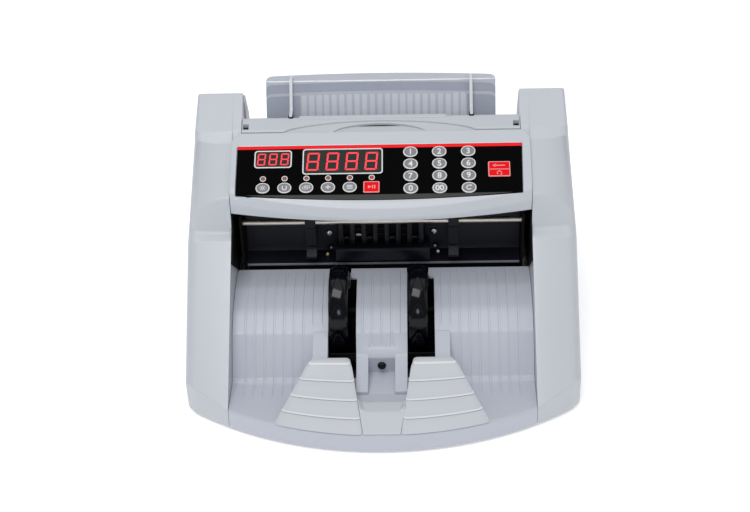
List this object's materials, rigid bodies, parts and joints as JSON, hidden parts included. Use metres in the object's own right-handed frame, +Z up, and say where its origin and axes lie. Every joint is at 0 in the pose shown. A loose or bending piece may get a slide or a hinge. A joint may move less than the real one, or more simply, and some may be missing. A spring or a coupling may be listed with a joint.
{
  "type": "banknote counting machine",
  "caption": "Desktop banknote counter: sloping keypad and display panel over a front stacker tray with stacking wheels, clear note support behind.",
  "frame": {"origin": "centre of the footprint, on the desk", "axes": "+X to the right seen from the operator side, -Y towards the operator, +Z up"},
  "size_m": [0.294, 0.244, 0.1906],
  "materials": {
    "body_plastic": "satin light grey",
    "tray_plastic": "satin light grey with fine grooves",
    "stop_plastic": "satin pale grey",
    "overlay_film": "satin black film with a red top edge",
    "key_grey": "grey with pale outline",
    "key_red": "red with pale outline",
    "display_window": "dark red window with lit segments",
    "lamp": "amber lenses on a strip",
    "black_metal": "satin black",
    "black_plastic": "black",
    "wheel_plastic": "glossy black",
    "rubber": "matt black",
    "steel": "bright rod",
    "base_metal": "plain grey",
    "clear_plastic": "clear, slightly smoky",
    "rib_plastic": "white",
    "circuit_board": "green board"
  },
  "bodies": {
    "base": {"base_pan": "base_metal", "foot_front_left": "rubber", "foot_front_right": "rubber", "foot_rear_left": "rubber", "foot_rear_right": "rubber", "left_side_cover": "body_plastic", "right_side_cover": "body_plastic", "stacker_tray": "tray_plastic", "left_stacker_stop": "stop_plastic", "right_stacker_stop": "stop_plastic", "stacker_centre_block": "stop_plastic", "stacker_sensor": "black_plastic", "control_panel_housing": "body_plastic", "panel_overlay": "overlay_film", "led_display_3_digit": "display_window", "led_display_4_digit": "display_window", "indicator_light_strip": "lamp", "control_board": "circuit_board", "left_frame_plate": "black_metal", "right_frame_plate": "black_metal", "baffle_plate": "black_metal", "arm_rod": "steel", "guide_comb": "black_plastic", "hopper_plate": "body_plastic", "rear_cover": "body_plastic", "power_inlet": "black_plastic", "drive_motor": "base_metal"},
    "lid": {"hopper_lid": "body_plastic", "clear_note_support": "clear_plastic", "left_support_rib": "rib_plastic", "right_support_rib": "rib_plastic"},
    "guide_left": {"left_note_guide": "stop_plastic"},
    "guide_right": {"right_note_guide": "stop_plastic"},
    "arm_left": {"left_press_arm": "black_plastic"},
    "arm_right": {"right_press_arm": "black_plastic"},
    "impeller": {"impeller_shaft": "steel", "left_stacking_wheel": "wheel_plastic", "right_stacking_wheel": "wheel_plastic"},
    "exit_rollers": {"exit_roller_shaft": "rubber"},
    "feed_rollers": {"feed_roller_shaft": "rubber"},
    "rocker": {"power_switch_rocker": "black_plastic"},
    "key_0_body": {"key_0": "key_grey"},
    "key_1_body": {"key_1": "key_grey"},
    "key_2_body": {"key_2": "key_grey"},
    "key_3_body": {"key_3": "key_grey"},
    "key_4_body": {"key_4": "key_grey"},
    "key_5_body": {"key_5": "key_grey"},
    "key_6_body": {"key_6": "key_grey"},
    "key_7_body": {"key_7": "key_grey"},
    "key_8_body": {"key_8": "key_grey"},
    "key_9_body": {"key_9": "key_grey"},
    "key_00_body": {"key_00": "key_grey"},
    "key_clear_body": {"key_clear": "key_grey"},
    "function_key_1_body": {"function_key_1": "key_grey"},
    "function_key_2_body": {"function_key_2": "key_grey"},
    "function_key_3_body": {"function_key_3": "key_grey"},
    "function_key_4_body": {"function_key_4": "key_grey"},
    "function_key_5_body": {"function_key_5": "key_grey"},
    "function_key_red_body": {"function_key_red": "key_red"},
    "reset_key_body": {"reset_key": "key_red"}
  },
  "joints": [
    {"name": "lid_hinge", "type": "hinge", "parent": "base", "child": "lid", "pos_m": [0, 0.067, 0.1602], "axis": [1, 0, 0], "range_deg": [0, 75]},
    {"name": "guide_left_slide", "type": "slide", "parent": "base", "child": "guide_left", "axis": [1, 0, 0], "range_m": [0, 0.028]},
    {"name": "guide_right_slide", "type": "slide", "parent": "base", "child": "guide_right", "axis": [-1, 0, 0], "range_m": [0, 0.028]},
    {"name": "arm_left_swing", "type": "hinge", "parent": "base", "child": "arm_left", "pos_m": [-0.0548, 0.028, 0.103], "axis": [1, 0, 0], "range_deg": [-15, 6], "stiffness_Nm_per_rad": 0.03},
    {"name": "arm_right_swing", "type": "hinge", "parent": "base", "child": "arm_right", "pos_m": [0.0546, 0.028, 0.103], "axis": [1, 0, 0], "range_deg": [-15, 6], "stiffness_Nm_per_rad": 0.03},
    {"name": "impeller_spin", "type": "hinge", "parent": "base", "child": "impeller", "pos_m": [0, -0.01, 0.046], "axis": [1, 0, 0], "continuous": true},
    {"name": "exit_spin", "type": "hinge", "parent": "base", "child": "exit_rollers", "pos_m": [0, 0.0485, 0.092], "axis": [1, 0, 0], "continuous": true},
    {"name": "feed_spin", "type": "hinge", "parent": "base", "child": "feed_rollers", "pos_m": [0, 0.072, 0.112], "axis": [1, 0, 0], "continuous": true},
    {"name": "rocker_tilt", "type": "hinge", "parent": "base", "child": "rocker", "pos_m": [0.0403, 0.1126, 0.0267], "axis": [1, 0, 0], "range_deg": [-7, 7]},
    {"name": "key_0_press", "type": "slide", "parent": "base", "child": "key_0_body", "axis": [0, 0.4695, -0.8829], "range_m": [0, 0.0005], "stiffness_N_per_m": 300},
    {"name": "key_1_press", "type": "slide", "parent": "base", "child": "key_1_body", "axis": [0, 0.4695, -0.8829], "range_m": [0, 0.0005], "stiffness_N_per_m": 300},
    {"name": "key_2_press", "type": "slide", "parent": "base", "child": "key_2_body", "axis": [0, 0.4695, -0.8829], "range_m": [0, 0.0005], "stiffness_N_per_m": 300},
    {"name": "key_3_press", "type": "slide", "parent": "base", "child": "key_3_body", "axis": [0, 0.4695, -0.8829], "range_m": [0, 0.0005], "stiffness_N_per_m": 300},
    {"name": "key_4_press", "type": "slide", "parent": "base", "child": "key_4_body", "axis": [0, 0.4695, -0.8829], "range_m": [0, 0.0005], "stiffness_N_per_m": 300},
    {"name": "key_5_press", "type": "slide", "parent": "base", "child": "key_5_body", "axis": [0, 0.4695, -0.8829], "range_m": [0, 0.0005], "stiffness_N_per_m": 300},
    {"name": "key_6_press", "type": "slide", "parent": "base", "child": "key_6_body", "axis": [0, 0.4695, -0.8829], "range_m": [0, 0.0005], "stiffness_N_per_m": 300},
    {"name": "key_7_press", "type": "slide", "parent": "base", "child": "key_7_body", "axis": [0, 0.4695, -0.8829], "range_m": [0, 0.0005], "stiffness_N_per_m": 300},
    {"name": "key_8_press", "type": "slide", "parent": "base", "child": "key_8_body", "axis": [0, 0.4695, -0.8829], "range_m": [0, 0.0005], "stiffness_N_per_m": 300},
    {"name": "key_9_press", "type": "slide", "parent": "base", "child": "key_9_body", "axis": [0, 0.4695, -0.8829], "range_m": [0, 0.0005], "stiffness_N_per_m": 300},
    {"name": "key_00_press", "type": "slide", "parent": "base", "child": "key_00_body", "axis": [0, 0.4695, -0.8829], "range_m": [0, 0.0005], "stiffness_N_per_m": 300},
    {"name": "key_clear_press", "type": "slide", "parent": "base", "child": "key_clear_body", "axis": [0, 0.4695, -0.8829], "range_m": [0, 0.0005], "stiffness_N_per_m": 300},
    {"name": "function_key_1_press", "type": "slide", "parent": "base", "child": "function_key_1_body", "axis": [0, 0.4695, -0.8829], "range_m": [0, 0.0005], "stiffness_N_per_m": 300},
    {"name": "function_key_2_press", "type": "slide", "parent": "base", "child": "function_key_2_body", "axis": [0, 0.4695, -0.8829], "range_m": [0, 0.0005], "stiffness_N_per_m": 300},
    {"name": "function_key_3_press", "type": "slide", "parent": "base", "child": "function_key_3_body", "axis": [0, 0.4695, -0.8829], "range_m": [0, 0.0005], "stiffness_N_per_m": 300},
    {"name": "function_key_4_press", "type": "slide", "parent": "base", "child": "function_key_4_body", "axis": [0, 0.4695, -0.8829], "range_m": [0, 0.0005], "stiffness_N_per_m": 300},
    {"name": "function_key_5_press", "type": "slide", "parent": "base", "child": "function_key_5_body", "axis": [0, 0.4695, -0.8829], "range_m": [0, 0.0005], "stiffness_N_per_m": 300},
    {"name": "function_key_red_press", "type": "slide", "parent": "base", "child": "function_key_red_body", "axis": [0, 0.4695, -0.8829], "range_m": [0, 0.0005], "stiffness_N_per_m": 300},
    {"name": "reset_key_press", "type": "slide", "parent": "base", "child": "reset_key_body", "axis": [0, 0.4695, -0.8829], "range_m": [0, 0.0005], "stiffness_N_per_m": 300}
  ],
  "couplings": [
    {"joint": "exit_spin", "follows": "impeller_spin", "ratio": 3},
    {"joint": "feed_spin", "follows": "impeller_spin", "ratio": 2}
  ]
}
